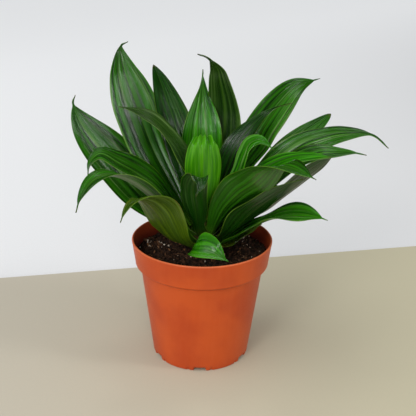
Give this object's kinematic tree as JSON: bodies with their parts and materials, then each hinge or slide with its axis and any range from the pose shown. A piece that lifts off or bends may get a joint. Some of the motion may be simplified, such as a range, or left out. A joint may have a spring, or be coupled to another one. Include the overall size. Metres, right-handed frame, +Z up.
{
  "type": "potted dracaena",
  "caption": "Compact dracaena with glossy ribbed lance-shaped leaves on a short stem, growing in a terracotta-coloured plastic nursery pot.",
  "frame": {"origin": "centre of the underside of the pot, on the surface it stands on", "axes": "+Z up through the pot's axis and the stem; +X to the right of the plant's front view; +Y to its back"},
  "size_m": [0.2393, 0.1748, 0.2365],
  "materials": {
    "pot_plastic": "satin",
    "potting_mix": "matte",
    "stem": "matte",
    "leaf": "gloss"
  },
  "bodies": {
    "root": {"pot": "pot_plastic", "potting_mix": "potting_mix", "stem": "stem", "leaf_left_outer": "leaf", "leaf_left_arching": "leaf", "leaf_left_drooping": "leaf", "leaf_front_left_broad": "leaf", "leaf_back_left_tall": "leaf", "leaf_left_inner_arching": "leaf", "leaf_back_left_dark": "leaf", "leaf_centre_upright": "leaf", "leaf_back_right_tailed": "leaf", "leaf_centre_front": "leaf", "leaf_right_inner_twisted": "leaf", "leaf_right_small_arching": "leaf", "leaf_back_right_tall": "leaf", "leaf_right_blunt": "leaf", "leaf_right_long": "leaf", "leaf_right_level": "leaf", "leaf_right_ribbed": "leaf", "leaf_front_right_arching": "leaf", "leaf_front_right_dark": "leaf", "leaf_right_broad": "leaf", "leaf_right_low": "leaf", "leaf_right_narrow": "leaf", "leaf_front_small": "leaf", "leaf_front_folded": "leaf", "leaf_back_low_right": "leaf", "leaf_back_right": "leaf", "leaf_back_middle": "leaf", "leaf_back_left": "leaf", "leaf_back_low_left": "leaf"}
  },
  "joints": []
}
